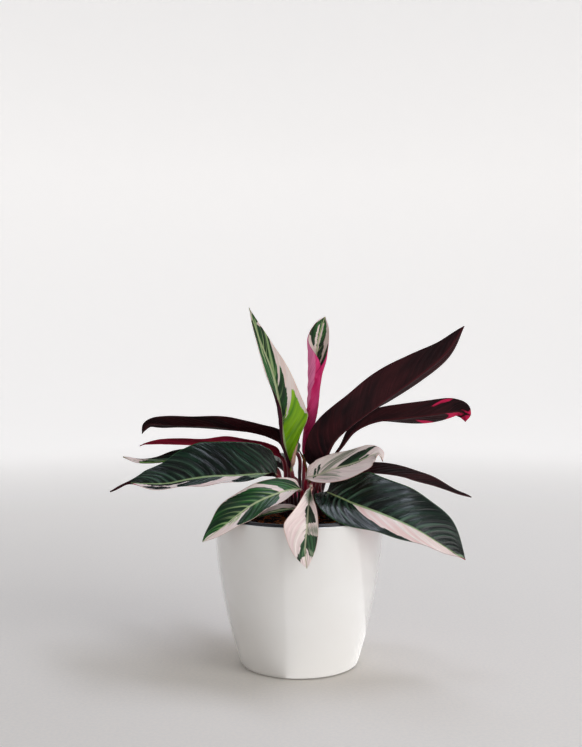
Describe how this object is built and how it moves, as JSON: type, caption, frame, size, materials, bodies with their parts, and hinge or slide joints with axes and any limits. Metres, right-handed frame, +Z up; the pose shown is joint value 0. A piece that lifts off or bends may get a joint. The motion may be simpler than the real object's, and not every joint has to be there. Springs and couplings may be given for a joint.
{
  "type": "potted tricolour stromanthe",
  "caption": "Broad variegated green, cream and pink leaves with maroon undersides on slim stalks, growing from soil in a glossy white round planter that tapers to its base.",
  "frame": {"origin": "centre of the planter's flat underside, on the surface it stands on", "axes": "+Z up along the planter's axis, -Y towards the front that the picture shows, +X to the right seen from the front"},
  "size_m": [0.4643, 0.3046, 0.4563],
  "materials": {
    "leaf_green": "satin",
    "leaf_dark": "satin",
    "leaf_cream": "satin",
    "leaf_rose": "satin",
    "leaf_maroon": "satin",
    "leaf_crimson": "satin",
    "brown_stalk": "matte",
    "gloss_white": "gloss",
    "liner_black": "satin",
    "potting_mix": "matte"
  },
  "bodies": {
    "root": {"planter_shell": "gloss_white", "liner_pot": "liner_black", "potting_mix": "potting_mix", "leaf_tall_left": "leaf_green", "leaf_rolled_pink": "leaf_rose", "leaf_maroon_right": "leaf_maroon", "leaf_hooked_right": "leaf_crimson", "leaf_cream_right": "leaf_cream", "leaf_dark_right": "leaf_dark", "leaf_back_right": "leaf_maroon", "leaf_hanging_front": "leaf_cream", "leaf_front_left": "leaf_green", "leaf_dark_left": "leaf_dark", "leaf_maroon_left": "leaf_maroon", "leaf_crimson_left": "leaf_crimson", "leaf_striped_left": "leaf_green", "leaf_low_front": "leaf_green", "leaf_back_left": "leaf_dark", "leaf_back": "leaf_green", "leaf_back_right_low": "leaf_dark", "leaf_back_right_tall": "leaf_maroon", "leaf_back_left_tall": "leaf_green", "bract_left": "brown_stalk", "bract_right": "brown_stalk"}
  },
  "joints": []
}
